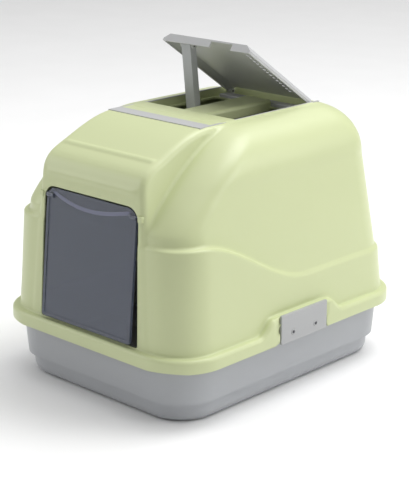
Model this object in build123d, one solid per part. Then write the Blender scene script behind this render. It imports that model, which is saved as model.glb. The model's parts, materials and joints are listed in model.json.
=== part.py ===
from build123d import *
import math
import os

# Hooded cat litter box. Millimetres. X across, -Y is the front with the door, +Z up.
# The origin is under the middle of the box, on the floor.

# Overall sizes
BOX_WIDTH = 400.0            # across the hood's flange
BOX_LENGTH = 500.0           # along the hood's flange
HOOD_TOP_Z = 391.0           # flat crown of the hood
WALL = 3.0                   # moulded wall of tray and hood

# Flange: the hood's rolled lip that sits over the tray's rim
FLANGE_BOTTOM_Z = 84.0
FLANGE_TOP_Z = 104.0
FLANGE_CORNER = 73.0         # plan radius
FLANGE_OVERHANG = 12.5       # from the skirt out to the flange
FLANGE_EDGE_R = 6.0
FLANGE_HEM_R = 1.2

# Skirt: the hood's lower wall, which ends in a waved ledge
SKIRT_CORNER = 60.0
SKIRT_DRAFT = 2.75           # degrees
LEDGE_FRONT_Z = 252.0
LEDGE_REAR_Z = 170.0
LEDGE_WAVE_FRONT = 62.0      # from the front of the flange to where the ledge starts to drop
LEDGE_WAVE_RUN = 215.0
LEDGE_SPARE = 30.0           # stock above the ledge before the wave is cut

# Dome: the hood's upper body
LEDGE_DEPTH = 7.5            # the dome stands in from the skirt at the rear ledge
DOME_CORNER = 57.0
DOME_DRAFT = 6.7             # degrees
SHOULDER_RADIUS = 73.0
SHOULDER_REACH = 64.0        # from the crown out to the dome's side
SLOPE_FALL = 125.0           # the front leans back over this height, up to the crown
SLOPE_POWER = 1.25           # 1 is a straight slope, 2 an ellipse
SLOPE_END = 190.0            # from the front of the flange to the slope's end at the crown
DOME_WALL_STEPS = (-20, 20, 60)            # plan sections, up from the rear ledge
DOME_SLOPE_STEPS = (-6, 8, 25, 40)         # up from the slope's start
DOME_SHOULDER_STEPS = (5, 18, 31, 44, 57, 70, 80, 90)   # degrees round the shoulder

# Band: the raised front that carries the door and runs over the crown
BAND_PROUD = 1.5             # the band over the crown
BAND_TOP_HALF = 99.0
BAND_DRAFT = 5.0             # degrees
BAND_FACE_DROP = 71.5        # top of the upright face, under the band's crest
BAND_EDGE_R = 9.0
BAND_CREST_START = 165.0     # from the front of the flange
BAND_KNEE = (58.0, 32.5)     # back from the flange's front, down from the crest
RIDGE_HEIGHT = 2.2
RIDGE_WIDTH = 9.0
RIDGE_LEAN = 48.0            # degrees, of the surface at the knee

# Door opening and its flap
DOOR_HALF = 96.0
DOOR_FLARE = 5.0             # the opening is this much wider on each side at its foot
DOOR_HEIGHT = 196.0
DOOR_SILL_RISE = 2.0         # the sill over the flange
DOOR_CORNER = 20.0
FLAP_SIDE_GAP = 4.0
FLAP_END_GAP = 3.0
FLAP_THICKNESS = 2.4
FLAP_RIM = 5.0
FLAP_RIM_PROUD = 1.0
FLAP_PIN_R = 2.0
FLAP_LUG_R = 4.5
FLAP_LUG_LENGTH = 14.0
FLAP_SWING = 3.0             # degrees, hanging out at the foot
FLAP_BOSS = 8.0
FLAP_PIN_DROP = 14.0         # the pin's axis below the opening's top

# Lid, its recess and the carrying handle
HINGE_SETBACK = 100.0        # from the rear of the flange to the lid's hinge
LID_SETBACK = 224.0          # from the front of the flange to the lid's front edge
LID_HALF = 87.0
LID_OPEN = 34.5              # degrees, as propped
LID_THICKNESS = 2.5
LID_DEPTH = 12.0
LID_SHOULDER = 10.0
LID_SHOULDER_DROP = 8.0
LID_GAP = 2.5                # lid to the sides of its recess
LID_LIFT = 3.5               # the closed lid stands this far over the crown
NOTCH_FROM = 8.0
NOTCH_TO = 50.0
VENT_HOLE_R = 2.8
VENT_PITCH = 9.0
VENT_ROWS = 3
VENT_MARGIN = 22.0
VENT_INSET = 4.5             # the outermost row, in from the shoulder
RECESS_DEPTH = 12.0
HANDLE_HALF = 26.0
HANDLE_DROP = 1.5            # the handle's top under the crown
HANDLE_EDGE_R = 5.0
HANDLE_SKIRT = 3.0           # the bar's sides below the recess floor
OPENING_CORNER = 8.0
FRONT_SHELF = 6.0            # recess floor left in front of the openings
REAR_SHELF = 34.0
HINGE_PIN_R = 2.0
HINGE_KNUCKLE_R = 4.0
HINGE_AXIS_DROP = 6.0        # the hinge axis under the crown
SILL_HEIGHT = 5.0
SILL_MARGIN = 8.0

# Trim frame around the recess
TRIM_STRIP = 24.0            # width of its front strip
TRIM_ARM = 4.0
TRIM_LANDING = 54.0          # green shelf between the strip and the lid
TRIM_PROUD = 1.0
TRIM_INLAY = 1.4

# Prop strut under the lid
PROP_X = -42.0
PROP_WIDTH = 18.0
PROP_DEPTH = 12.0
PROP_WALL = 2.5
PROP_PIN_R = 2.0
PROP_EAR = 3.0
PROP_EAR_R = 5.0
PROP_CLEAR = 1.0
PROP_FOOT_BACK = 50.0        # foot centre behind the lid's closed front edge
PROP_FOOT_DROP = 15.0        # foot centre under the crown
STOP_ANGLE = 40.0
STOP_GAP = 0.4
STOP_WIDTH = 24.0

# Side clips
CLIP_CENTRE_Y = 2.0
CLIP_LENGTH = 102.0
CLIP_THICKNESS = 3.5
CLIP_HEIGHT = 44.0
CLIP_PROUD = 1.0             # the plate's face beyond the flange
CLIP_GAP = 1.0
CLIP_SIDE_GAP = 1.5
CLIP_PIN_R = 1.5
CLIP_KNUCKLE_R = 3.6
CLIP_KNUCKLE_LENGTH = 8.0
CLIP_HINGE_Z = 88.0
CLIP_FOOT = 5.0              # the plate below its hinge axis
CLIP_CORNER_R = 2.0
CLIP_EDGE_R = 0.8
CLIP_LUG_PITCH = 60.0
STUD_PITCH = 50.0
STUD_R = 4.5
STUD_PROUD = 0.9
STUD_Z = 97.0
HUMP_HEIGHT = 21.0
HUMP_MARGIN = 10.0
HUMP_RUN = 33.0

# Tray
TRAY_RIM_GAP = 3.0           # tray lip to the inside of the flange
TRAY_LIP = 3.0
TRAY_WALL_INSET = 13.5       # tray wall in from the flange at the rim
TRAY_DRAFT = 4.6             # degrees
TRAY_STEP_Z = 30.0
TRAY_STEP = 5.0
TRAY_FOOT_DRAFT = 4.0
TRAY_FOOT_R = 14.0
TRAY_CORNER = 60.0

RUNNING = 0.05               # radial clearance of a pin that turns in its hole
SIDE_PLAY = 0.4              # end clearance beside a turning knuckle
MITRE = 1.0                  # cutters reach this far past the face that they cut

FRONT_Y = -BOX_LENGTH / 2
BAND_CREST_Z = HOOD_TOP_Z + BAND_PROUD
BAND_FACE_TOP_Z = BAND_CREST_Z - BAND_FACE_DROP
SLOPE_START_Z = HOOD_TOP_Z - SLOPE_FALL
REAR_Y = BOX_LENGTH / 2
SKIRT_HALF_X = BOX_WIDTH / 2 - FLANGE_OVERHANG
SKIRT_HALF_Y = BOX_LENGTH / 2 - FLANGE_OVERHANG
HINGE_Y = REAR_Y - HINGE_SETBACK
HINGE_Z = HOOD_TOP_Z - HINGE_AXIS_DROP
LID_FRONT_Y = FRONT_Y + LID_SETBACK
LID_TOP_Z = HOOD_TOP_Z + LID_LIFT
RECESS_HALF = LID_HALF + LID_GAP
RECESS_FRONT_Y = LID_FRONT_Y - LID_GAP
RECESS_REAR_Y = HINGE_Y + HINGE_KNUCKLE_R + LID_GAP
RECESS_FLOOR_Z = HOOD_TOP_Z - RECESS_DEPTH
OPENING_FRONT_Y = RECESS_FRONT_Y + FRONT_SHELF
OPENING_REAR_Y = RECESS_REAR_Y - REAR_SHELF
DOOR_SILL_Z = FLANGE_TOP_Z + DOOR_SILL_RISE
DOOR_TOP_Z = DOOR_SILL_Z + DOOR_HEIGHT
TRAY_TOP_Z = FLANGE_TOP_Z - WALL
CLIP_FACE_X = BOX_WIDTH / 2 + CLIP_PROUD
CLIP_BACK_X = CLIP_FACE_X - CLIP_THICKNESS
CLIP_HINGE_X = CLIP_BACK_X - CLIP_KNUCKLE_R - CLIP_GAP
CLIP_BOTTOM_Z = CLIP_HINGE_Z - CLIP_FOOT
LID_HINGE = Axis((0, HINGE_Y, HINGE_Z), (-1, 0, 0))


def tan(degrees):
    return math.tan(math.radians(degrees))


def box_between(low, high):
    """A plain block from its lowest to its highest corner."""
    size = [b - a for a, b in zip(low, high)]
    middle = [(a + b) / 2 for a, b in zip(low, high)]
    return Pos(*middle) * Box(*size)


def cylinder_x(radius, x0, x1, y, z):
    """A round bar along X."""
    return Pos((x0 + x1) / 2, y, z) * Rot(0, 90, 0) * Cylinder(radius, x1 - x0)


def cylinder_y(radius, y0, y1, x, z):
    """A round bar along Y."""
    return Pos(x, (y0 + y1) / 2, z) * Rot(90, 0, 0) * Cylinder(radius, y1 - y0)


def rounded_plan(half_x, half_y, corner, z, y=0.0):
    """A rounded rectangle lying at height z."""
    return Pos(0, y, z) * RectangleRounded(2 * half_x, 2 * half_y, corner)


def drafted(half_x, half_y, corner, z0, z1, draft):
    """A rounded block that narrows upward by its draft angle."""
    return extrude(rounded_plan(half_x, half_y, corner, z0), z1 - z0, taper=draft)


def side_profile(points, half_x):
    """A closed Y-Z polygon made solid across X."""
    return extrude(Plane.YZ * make_face(Polyline(*points, close=True)), half_x, both=True)


def s_curve(start, end):
    """A smooth step from one level to another in a Y-Z outline."""
    return Spline(start, end, tangents=[(1, 0), (1, 0)])


# Tray

def tray_body(inset, floor_z, top_z):
    """The tray's outer form, or its hollow when it is inset by the wall."""
    half_x = BOX_WIDTH / 2 - TRAY_WALL_INSET
    half_y = BOX_LENGTH / 2 - TRAY_WALL_INSET
    fall = (TRAY_TOP_Z - TRAY_STEP_Z) * tan(TRAY_DRAFT)
    waist_x = half_x - fall - inset
    waist_y = half_y - fall - inset
    corner = TRAY_CORNER - inset
    upper = drafted(waist_x, waist_y, corner, TRAY_STEP_Z + inset, top_z, -TRAY_DRAFT)
    foot_x = waist_x - TRAY_STEP - TRAY_STEP_Z * tan(TRAY_FOOT_DRAFT)
    foot_y = waist_y - TRAY_STEP - TRAY_STEP_Z * tan(TRAY_FOOT_DRAFT)
    lower = drafted(foot_x, foot_y, corner, floor_z, TRAY_STEP_Z + inset + MITRE, -TRAY_FOOT_DRAFT)
    floor_edges = lower.edges().group_by(Axis.Z)[0]
    return upper + fillet(floor_edges, TRAY_FOOT_R - inset)


def tray_lug(side, y):
    """An ear on the tray's rim that holds a clip's pin."""
    inner_x = BOX_WIDTH / 2 - TRAY_WALL_INSET - WALL / 2
    half = CLIP_KNUCKLE_LENGTH / 2
    low = (inner_x, y - half, CLIP_HINGE_Z - CLIP_KNUCKLE_R)
    high = (CLIP_HINGE_X, y + half, CLIP_HINGE_Z + CLIP_KNUCKLE_R)
    ear = box_between(low, high)
    ear += cylinder_y(CLIP_KNUCKLE_R, y - half, y + half, CLIP_HINGE_X, CLIP_HINGE_Z)
    ear -= cylinder_y(CLIP_PIN_R, y - half - MITRE, y + half + MITRE, CLIP_HINGE_X, CLIP_HINGE_Z)
    return ear if side > 0 else mirror(ear, Plane.YZ)


def lug_places():
    """Where along Y the two ears of each clip stand."""
    return [CLIP_CENTRE_Y - CLIP_LUG_PITCH / 2, CLIP_CENTRE_Y + CLIP_LUG_PITCH / 2]


def tray():
    lip_x = BOX_WIDTH / 2 - WALL - TRAY_RIM_GAP
    lip_y = BOX_LENGTH / 2 - WALL - TRAY_RIM_GAP
    lip_corner = FLANGE_CORNER - WALL - TRAY_RIM_GAP
    lip = extrude(rounded_plan(lip_x, lip_y, lip_corner, TRAY_TOP_Z - TRAY_LIP), TRAY_LIP)
    for side in (-1, 1):
        lip -= clip_zone(side, CLIP_HINGE_X - CLIP_KNUCKLE_R)
    shell = tray_body(0.0, 0.0, TRAY_TOP_Z) + lip
    shell -= tray_body(WALL, WALL, TRAY_TOP_Z + MITRE)
    for side in (-1, 1):
        for y in lug_places():
            shell += tray_lug(side, y)
    return shell


# Hood

def front_slope(z, offset):
    """Y of the dome's front at a height: nearly upright, then leaning back to the crown."""
    upright = FRONT_Y + FLANGE_OVERHANG + LEDGE_DEPTH + offset + (z - LEDGE_REAR_Z) * tan(SKIRT_DRAFT)
    start = SLOPE_START_Z - offset
    if z <= start:
        return upright
    foot = front_slope(start, offset)
    end = FRONT_Y + SLOPE_END
    rise = min(1.0, (z - start) / (HOOD_TOP_Z - offset - start))
    return end - (end - foot) * (1 - rise ** SLOPE_POWER) ** (1 / SLOPE_POWER)


def dome_section(z, offset):
    """The dome's plan at one height."""
    shoulder_z = HOOD_TOP_Z - SHOULDER_RADIUS
    lean = (min(z, shoulder_z) - LEDGE_REAR_Z) * tan(DOME_DRAFT)
    rise = max(0.0, (z - shoulder_z) / (SHOULDER_RADIUS - offset))
    spread = math.sqrt(max(0.0, 1 - rise * rise))
    pull = (1 - spread) * (SHOULDER_REACH - offset)
    half_x = SKIRT_HALF_X - LEDGE_DEPTH - offset - lean - pull
    rear = SKIRT_HALF_Y - LEDGE_DEPTH - offset - lean - pull
    front = front_slope(z, offset)
    corner = DOME_CORNER - offset - (1 - spread) * DOME_CORNER / 2
    return rounded_plan(half_x, (rear - front) / 2, corner, z, (rear + front) / 2)


def dome(offset):
    """The hood's upper body, or its hollow when it is offset by the wall."""
    shoulder_z = HOOD_TOP_Z - SHOULDER_RADIUS
    lower = [LEDGE_REAR_Z + step for step in DOME_WALL_STEPS]
    lower += [SLOPE_START_Z + step for step in DOME_SLOPE_STEPS]
    turns = [math.radians(step) for step in DOME_SHOULDER_STEPS]
    upper = [shoulder_z + (SHOULDER_RADIUS - offset) * math.sin(turn) for turn in turns]
    return loft([dome_section(z, offset) for z in lower + upper], ruled=True)


def skirt(offset, bottom_z):
    """The hood's lower wall up to the waved ledge, or its hollow."""
    half_x = SKIRT_HALF_X - offset
    half_y = SKIRT_HALF_Y - offset
    block = drafted(half_x, half_y, SKIRT_CORNER - offset, bottom_z, LEDGE_FRONT_Z + LEDGE_SPARE, SKIRT_DRAFT)
    wave_front = (FRONT_Y + LEDGE_WAVE_FRONT, LEDGE_FRONT_Z - offset)
    wave_rear = (wave_front[0] + LEDGE_WAVE_RUN, LEDGE_REAR_Z - offset)
    far_front = (FRONT_Y - MITRE, LEDGE_FRONT_Z - offset)
    far_rear = (REAR_Y + MITRE, LEDGE_REAR_Z - offset)
    outline = Line(far_front, wave_front) + s_curve(wave_front, wave_rear) + Line(wave_rear, far_rear)
    outline += Polyline(far_rear, (far_rear[0], bottom_z), (far_front[0], bottom_z), far_front)
    waved = extrude(Plane.YZ * make_face(outline), BOX_WIDTH / 2, both=True)
    return block & waved


def band_face_y(z):
    """Y of the band's front face at a height."""
    return FRONT_Y + FLANGE_OVERHANG + (z - FLANGE_TOP_Z) * tan(SKIRT_DRAFT)


def band(offset, rear_y, rounded=True):
    """The raised front and crown, or its hollow."""
    top = BAND_CREST_Z - offset
    face_low = (band_face_y(FLANGE_TOP_Z) + offset, FLANGE_TOP_Z)
    face_top = (band_face_y(BAND_FACE_TOP_Z) + offset, BAND_FACE_TOP_Z)
    knee = (FRONT_Y + BAND_KNEE[0] + offset / 2, BAND_CREST_Z - BAND_KNEE[1] - offset)
    crest = (FRONT_Y + BAND_CREST_START, top)
    rise = (face_top[0] - face_low[0], face_top[1] - face_low[1])
    outline = Line(face_low, face_top) + Spline(face_top, knee, crest, tangents=[rise, (1, 0)])
    outline += Polyline(crest, (rear_y, top), (rear_y, FLANGE_TOP_Z), face_low)
    swept = extrude(Plane.YZ * make_face(outline), BOX_WIDTH / 2, both=True)
    half_low = BAND_TOP_HALF - offset + (BAND_CREST_Z - FLANGE_TOP_Z) * tan(BAND_DRAFT)
    half_top = BAND_TOP_HALF - offset
    corners = [(-half_low, FLANGE_TOP_Z), (half_low, FLANGE_TOP_Z)]
    corners += [(half_top, BAND_CREST_Z), (-half_top, BAND_CREST_Z)]
    wedge = extrude(Plane.XZ * make_face(Polyline(*corners, close=True)), BOX_LENGTH, both=True)
    body = swept & wedge
    if not rounded:
        return body
    long_edges = [e for e in body.edges() if abs(e.center().X) > BAND_TOP_HALF / 2
                  and e.center().Z > FLANGE_TOP_Z + MITRE and e.center().Y < rear_y - MITRE]
    return fillet(long_edges, BAND_EDGE_R - offset)


def flange_ring():
    """The rolled lip, open underneath for the tray's rim."""
    half_x = BOX_WIDTH / 2
    half_y = BOX_LENGTH / 2
    height = FLANGE_TOP_Z - FLANGE_BOTTOM_Z
    ring = extrude(rounded_plan(half_x, half_y, FLANGE_CORNER, FLANGE_BOTTOM_Z), height)
    ring = fillet(ring.edges().group_by(Axis.Z)[-1], FLANGE_EDGE_R)
    return fillet(ring.edges().group_by(Axis.Z)[0], FLANGE_HEM_R)


def flange_channel():
    """The space inside the flange that takes the tray's rim."""
    half_x = BOX_WIDTH / 2 - WALL
    half_y = BOX_LENGTH / 2 - WALL
    height = TRAY_TOP_Z - FLANGE_BOTTOM_Z + MITRE
    return extrude(rounded_plan(half_x, half_y, FLANGE_CORNER - WALL, FLANGE_BOTTOM_Z - MITRE), height)


def clip_zone(side, inner_x):
    """A block over the clip's length, from inner_x outward."""
    half = CLIP_LENGTH / 2 + CLIP_SIDE_GAP
    low = (inner_x, CLIP_CENTRE_Y - half, FLANGE_BOTTOM_Z - MITRE)
    high = (BOX_WIDTH / 2 + 2 * MITRE, CLIP_CENTRE_Y + half, FLANGE_TOP_Z + HUMP_HEIGHT + MITRE)
    zone = box_between(low, high)
    return zone if side > 0 else mirror(zone, Plane.YZ)


def hump(side, offset):
    """The raised stretch of flange beside and behind a clip, or its hollow."""
    top = FLANGE_TOP_Z + HUMP_HEIGHT - offset
    half = CLIP_LENGTH / 2 + HUMP_MARGIN - offset
    low_z = FLANGE_TOP_Z - FLANGE_EDGE_R - offset
    start = (CLIP_CENTRE_Y - half - HUMP_RUN, low_z)
    rise_end = (CLIP_CENTRE_Y - half, top)
    fall_start = (CLIP_CENTRE_Y + half, top)
    end = (CLIP_CENTRE_Y + half + HUMP_RUN, low_z)
    outline = s_curve(start, rise_end) + Line(rise_end, fall_start) + s_curve(fall_start, end)
    outline += Polyline(end, (end[0], FLANGE_BOTTOM_Z + WALL), (start[0], FLANGE_BOTTOM_Z + WALL), start)
    depth = FLANGE_OVERHANG + WALL / 2
    block = extrude(Plane.YZ.offset(BOX_WIDTH / 2 - offset) * make_face(outline), -depth)
    return block if side > 0 else mirror(block, Plane.YZ)


def door_outline(half_top, half_low, z0, z1, top_corner, low_corner):
    """An upright door shape, rounded at its corners."""
    corners = [(-half_low, z0), (half_low, z0), (half_top, z1), (-half_top, z1)]
    face = make_face(Polyline(*corners, close=True))
    face = fillet(face.vertices().group_by(Axis.Y)[-1], top_corner)
    return fillet(face.vertices().group_by(Axis.Y)[0], low_corner)


def door_cutter():
    """The doorway: rounded above, a little wider at its foot."""
    face = door_outline(DOOR_HALF, DOOR_HALF + DOOR_FLARE, DOOR_SILL_Z, DOOR_TOP_Z, DOOR_CORNER, WALL)
    reach = 3 * FLANGE_OVERHANG
    return Pos(0, FRONT_Y + reach, 0) * extrude(Plane.XZ * face, 2 * reach)


def flap_axis():
    """Y and Z of the flap's pivot, within the thickness of the front wall."""
    z = DOOR_TOP_Z - FLAP_PIN_DROP
    return band_face_y(z) + FLAP_LUG_R - MITRE, z


def flap_boss(side):
    """A block inside the doorway's upper corner that holds the flap's pin."""
    y, z = flap_axis()
    x0 = DOOR_HALF + MITRE
    x1 = x0 + FLAP_BOSS
    boss = box_between((x0, band_face_y(z) + WALL / 2, z - FLAP_LUG_R),
                       (x1, y + FLAP_LUG_R + WALL / 2, z + FLAP_LUG_R))
    return boss if side > 0 else mirror(boss, Plane.YZ)


def flap_bore(side):
    """The blind hole in a boss that holds the flap's pin."""
    y, z = flap_axis()
    bore = cylinder_x(FLAP_PIN_R, DOOR_HALF - MITRE, DOOR_HALF + MITRE + FLAP_BOSS - WALL / 2, y, z)
    return bore if side > 0 else mirror(bore, Plane.YZ)


def recess_tub(offset):
    """The sunk tray in the crown that the lid closes into."""
    low = (-RECESS_HALF - offset, RECESS_FRONT_Y - offset, RECESS_FLOOR_Z - offset)
    high = (RECESS_HALF + offset, RECESS_REAR_Y + offset, BAND_CREST_Z + MITRE)
    return box_between(low, high)


def top_opening(side):
    """One of the two hand openings beside the handle."""
    low = (HANDLE_HALF, OPENING_FRONT_Y, RECESS_FLOOR_Z - 2 * WALL)
    high = (LID_HALF - MITRE, OPENING_REAR_Y, HOOD_TOP_Z)
    block = box_between(low, high)
    block = fillet(block.edges().filter_by(Axis.Z), OPENING_CORNER)
    return block if side > 0 else mirror(block, Plane.YZ)


def handle():
    """The carrying bar between the openings, behind the closed lid's front wall."""
    top = HOOD_TOP_Z - HANDLE_DROP
    low_z = RECESS_FLOOR_Z - WALL - HANDLE_SKIRT
    bar = box_between((-HANDLE_HALF, OPENING_FRONT_Y, low_z), (HANDLE_HALF, OPENING_REAR_Y, top))
    return fillet(bar.edges().group_by(Axis.Z)[-1].filter_by(Axis.Y), HANDLE_EDGE_R)


def handle_hollow():
    """The space under the carrying bar, open below."""
    half = HANDLE_HALF - WALL
    low_z = RECESS_FLOOR_Z - WALL - HANDLE_SKIRT - MITRE
    top = HOOD_TOP_Z - HANDLE_DROP - WALL
    return box_between((-half, OPENING_FRONT_Y + WALL, low_z), (half, OPENING_REAR_Y - WALL, top))


def prop_points():
    """Pivot and foot centre of the standing prop, each as (y, z)."""
    reach = HINGE_Y - prop_pivot_y()
    rise = prop_pivot_z() - HINGE_Z
    turn = math.radians(LID_OPEN)
    head_y = HINGE_Y - reach * math.cos(turn) + rise * math.sin(turn)
    head_z = HINGE_Z + reach * math.sin(turn) + rise * math.cos(turn)
    foot_y = LID_FRONT_Y + PROP_FOOT_BACK
    foot_z = HOOD_TOP_Z - PROP_FOOT_DROP
    return (head_y, head_z), (foot_y, foot_z)


def prop_pivot_y():
    return LID_FRONT_Y + LID_THICKNESS + PROP_DEPTH / 2 + PROP_CLEAR


def prop_pivot_z():
    return LID_TOP_Z - LID_THICKNESS - PROP_DEPTH / 2 - PROP_CLEAR


def prop_stop():
    """A bracket in the left opening, whose bevelled end the prop's foot bears on."""
    _, (foot_y, foot_z) = prop_points()
    reach = PROP_DEPTH / 2 + STOP_GAP
    turn = math.radians(STOP_ANGLE)
    touch = (foot_y - reach * math.sin(turn), foot_z - reach * math.cos(turn))
    top_z = RECESS_FLOOR_Z - MITRE
    low_z = RECESS_FLOOR_Z - 2 * RECESS_DEPTH
    rear_y = foot_y
    bevel_top_y = touch[0] - (top_z - touch[1]) / tan(STOP_ANGLE)
    bevel_low_z = touch[1] - (rear_y - touch[0]) * tan(STOP_ANGLE)
    front_y = RECESS_FRONT_Y - WALL
    points = [(front_y, low_z), (rear_y, low_z), (rear_y, bevel_low_z), (bevel_top_y, top_z),
              (front_y, top_z)]
    return Pos(PROP_X, 0, 0) * side_profile(points, STOP_WIDTH / 2)


def ridge(y, z, lean):
    """A round moulded rib across the band, on a surface that leans back by this angle."""
    half = BAND_TOP_HALF - BAND_EDGE_R
    sink = RIDGE_WIDTH / 2 - RIDGE_HEIGHT
    turn = math.radians(lean)
    return cylinder_x(RIDGE_WIDTH / 2, -half, half, y + sink * math.cos(turn), z - sink * math.sin(turn))


def ridges():
    """The two ribs, at the top of the face and at the knee."""
    low = ridge(band_face_y(BAND_FACE_TOP_Z), BAND_FACE_TOP_Z + RIDGE_HEIGHT, SKIRT_DRAFT)
    high = ridge(FRONT_Y + BAND_KNEE[0], BAND_CREST_Z - BAND_KNEE[1], RIDGE_LEAN)
    return low + high


def trim_outline():
    """The trim frame's plan: a front strip and two arms along the recess."""
    outer = RECESS_HALF + TRIM_ARM
    front = LID_FRONT_Y - TRIM_LANDING - TRIM_STRIP
    frame = box_between((-outer, front, HOOD_TOP_Z - 3 * RECESS_DEPTH), (outer, RECESS_REAR_Y, LID_TOP_Z))
    inner = box_between((-RECESS_HALF, front + TRIM_STRIP, HOOD_TOP_Z - 4 * RECESS_DEPTH),
                        (RECESS_HALF, RECESS_REAR_Y + MITRE, LID_TOP_Z + MITRE))
    return frame - inner


def trim_skin():
    """The trim follows the band's surface, set into it and standing a little proud."""
    skin = band(-TRIM_PROUD, REAR_Y, rounded=False) - band(TRIM_INLAY, REAR_Y + MITRE, rounded=False)
    return skin & trim_outline()


def hood_outer():
    body = flange_ring() + skirt(0.0, FLANGE_BOTTOM_Z + WALL)
    body += dome(0.0)
    body += band(0.0, HINGE_Y)
    for side in (-1, 1):
        body += hump(side, 0.0)
    return body


def hood_hollow():
    body = skirt(WALL, FLANGE_BOTTOM_Z - MITRE)
    body += dome(WALL)
    body += band(WALL, HINGE_Y - WALL)
    return body


def hinge_hole(side):
    """The hole in the recess wall that holds a lid hinge pin."""
    hole = cylinder_x(HINGE_PIN_R, RECESS_HALF - MITRE, RECESS_HALF + WALL + MITRE, HINGE_Y, HINGE_Z)
    return hole if side > 0 else mirror(hole, Plane.YZ)


def handle_well():
    """The sunk well in the crown, with its hand openings, carrying bar and prop stop."""
    outer = dome(0.0) + band(0.0, HINGE_Y)
    well = (recess_tub(WALL) & outer) - recess_tub(0.0)
    well += handle() + prop_stop()
    well -= handle_hollow()
    for side in (-1, 1):
        well -= top_opening(side) - prop_stop()
        well -= hinge_hole(side)
    return well - trim_skin()


def hood():
    skirt_block = skirt(0.0, FLANGE_BOTTOM_Z - 2 * MITRE)
    shell = hood_outer() - hood_hollow() - flange_channel()
    for side in (-1, 1):
        shell -= hump(side, WALL) - skirt_block
        shell -= clip_zone(side, CLIP_BACK_X - CLIP_GAP)
        shell += flap_boss(side)
        shell -= flap_bore(side)
    shell -= door_cutter()
    shell += ridges()
    return shell - recess_tub(WALL) - trim_skin()


# Lid and the pieces on it, drawn closed and then swung open

def lid_block(inset, y0, y1, low_z):
    """The lid's arched section, with sloped shoulders, run along Y."""
    half = LID_HALF - inset
    top = LID_TOP_Z - inset
    shoulder = half - LID_SHOULDER
    slope_z = top - LID_SHOULDER_DROP
    points = [(-half, low_z), (-half, slope_z), (-shoulder, top), (shoulder, top), (half, slope_z),
              (half, low_z)]
    face = Plane.XZ * make_face(Polyline(*points, close=True))
    return Pos(0, y1, 0) * extrude(face, y1 - y0)


def vent_holes():
    """Rows of round holes along the right side of the lid's flat."""
    count = int((HINGE_Y - LID_FRONT_Y - 2 * VENT_MARGIN) / VENT_PITCH) + 1
    first_y = (HINGE_Y + LID_FRONT_Y - (count - 1) * VENT_PITCH) / 2
    first_x = LID_HALF - LID_SHOULDER - VENT_INSET
    holes = []
    for row in range(VENT_ROWS):
        for step in range(count):
            place = Pos(first_x - row * VENT_PITCH, first_y + step * VENT_PITCH, LID_TOP_Z)
            holes.append(place * Cylinder(VENT_HOLE_R, 3 * LID_THICKNESS))
    return holes


def lid_knuckle(side):
    """A barrel under the lid's rear corner that turns on its hinge pin."""
    x0 = LID_HALF - LID_SHOULDER
    y0 = HINGE_Y - HINGE_KNUCKLE_R
    web = box_between((x0, y0, HINGE_Z), (LID_HALF, HINGE_Y, LID_TOP_Z))
    web = web & lid_block(0.0, y0, HINGE_Y, HINGE_Z)
    barrel = web + cylinder_x(HINGE_KNUCKLE_R, x0, LID_HALF, HINGE_Y, HINGE_Z)
    barrel -= cylinder_x(HINGE_PIN_R + RUNNING, x0 - MITRE, LID_HALF + MITRE, HINGE_Y, HINGE_Z)
    return barrel if side > 0 else mirror(barrel, Plane.YZ)


def prop_ear(side):
    """A lug under the lid on one side of the prop's head."""
    x0 = PROP_X + side * (PROP_WIDTH / 2 + SIDE_PLAY)
    x1 = x0 + side * PROP_EAR
    y = prop_pivot_y()
    z = prop_pivot_z()
    web = box_between((min(x0, x1), y - PROP_EAR_R, z), (max(x0, x1), y + PROP_EAR_R, LID_TOP_Z - MITRE))
    ear = web + cylinder_x(PROP_EAR_R, min(x0, x1), max(x0, x1), y, z)
    return ear - cylinder_x(PROP_PIN_R, min(x0, x1) - MITRE, max(x0, x1) + MITRE, y, z)


def lid():
    low_z = LID_TOP_Z - LID_DEPTH
    shell = lid_block(0.0, LID_FRONT_Y, HINGE_Y, low_z)
    shell -= lid_block(LID_THICKNESS, LID_FRONT_Y + LID_THICKNESS, HINGE_Y + MITRE, low_z - MITRE)
    notch_top = LID_TOP_Z - LID_THICKNESS
    shell -= box_between((NOTCH_FROM, LID_FRONT_Y - MITRE, low_z - MITRE),
                         (NOTCH_TO, LID_FRONT_Y + LID_THICKNESS, notch_top))
    for side in (-1, 1):
        shell += prop_ear(side)
        pocket = cylinder_x(HINGE_KNUCKLE_R - MITRE, LID_HALF - LID_SHOULDER, LID_HALF + MITRE,
                            HINGE_Y, HINGE_Z)
        shell -= pocket if side > 0 else mirror(pocket, Plane.YZ)
        shell += lid_knuckle(side)
    shell -= vent_holes()
    return shell.rotate(LID_HINGE, LID_OPEN)


def lid_hinge_pin(side):
    pin = cylinder_x(HINGE_PIN_R, LID_HALF - LID_SHOULDER, RECESS_HALF + WALL, HINGE_Y, HINGE_Z)
    return pin if side > 0 else mirror(pin, Plane.YZ)


def hinge_sill():
    """A cross bar on the recess floor, behind the openings."""
    half = LID_HALF - LID_THICKNESS - LID_GAP
    low = (-half, OPENING_REAR_Y + MITRE, RECESS_FLOOR_Z)
    high = (half, HINGE_Y - HINGE_KNUCKLE_R - SILL_MARGIN / 2, RECESS_FLOOR_Z + SILL_HEIGHT)
    bar = box_between(low, high)
    return fillet(bar.edges().group_by(Axis.Z)[-1], MITRE)


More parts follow.
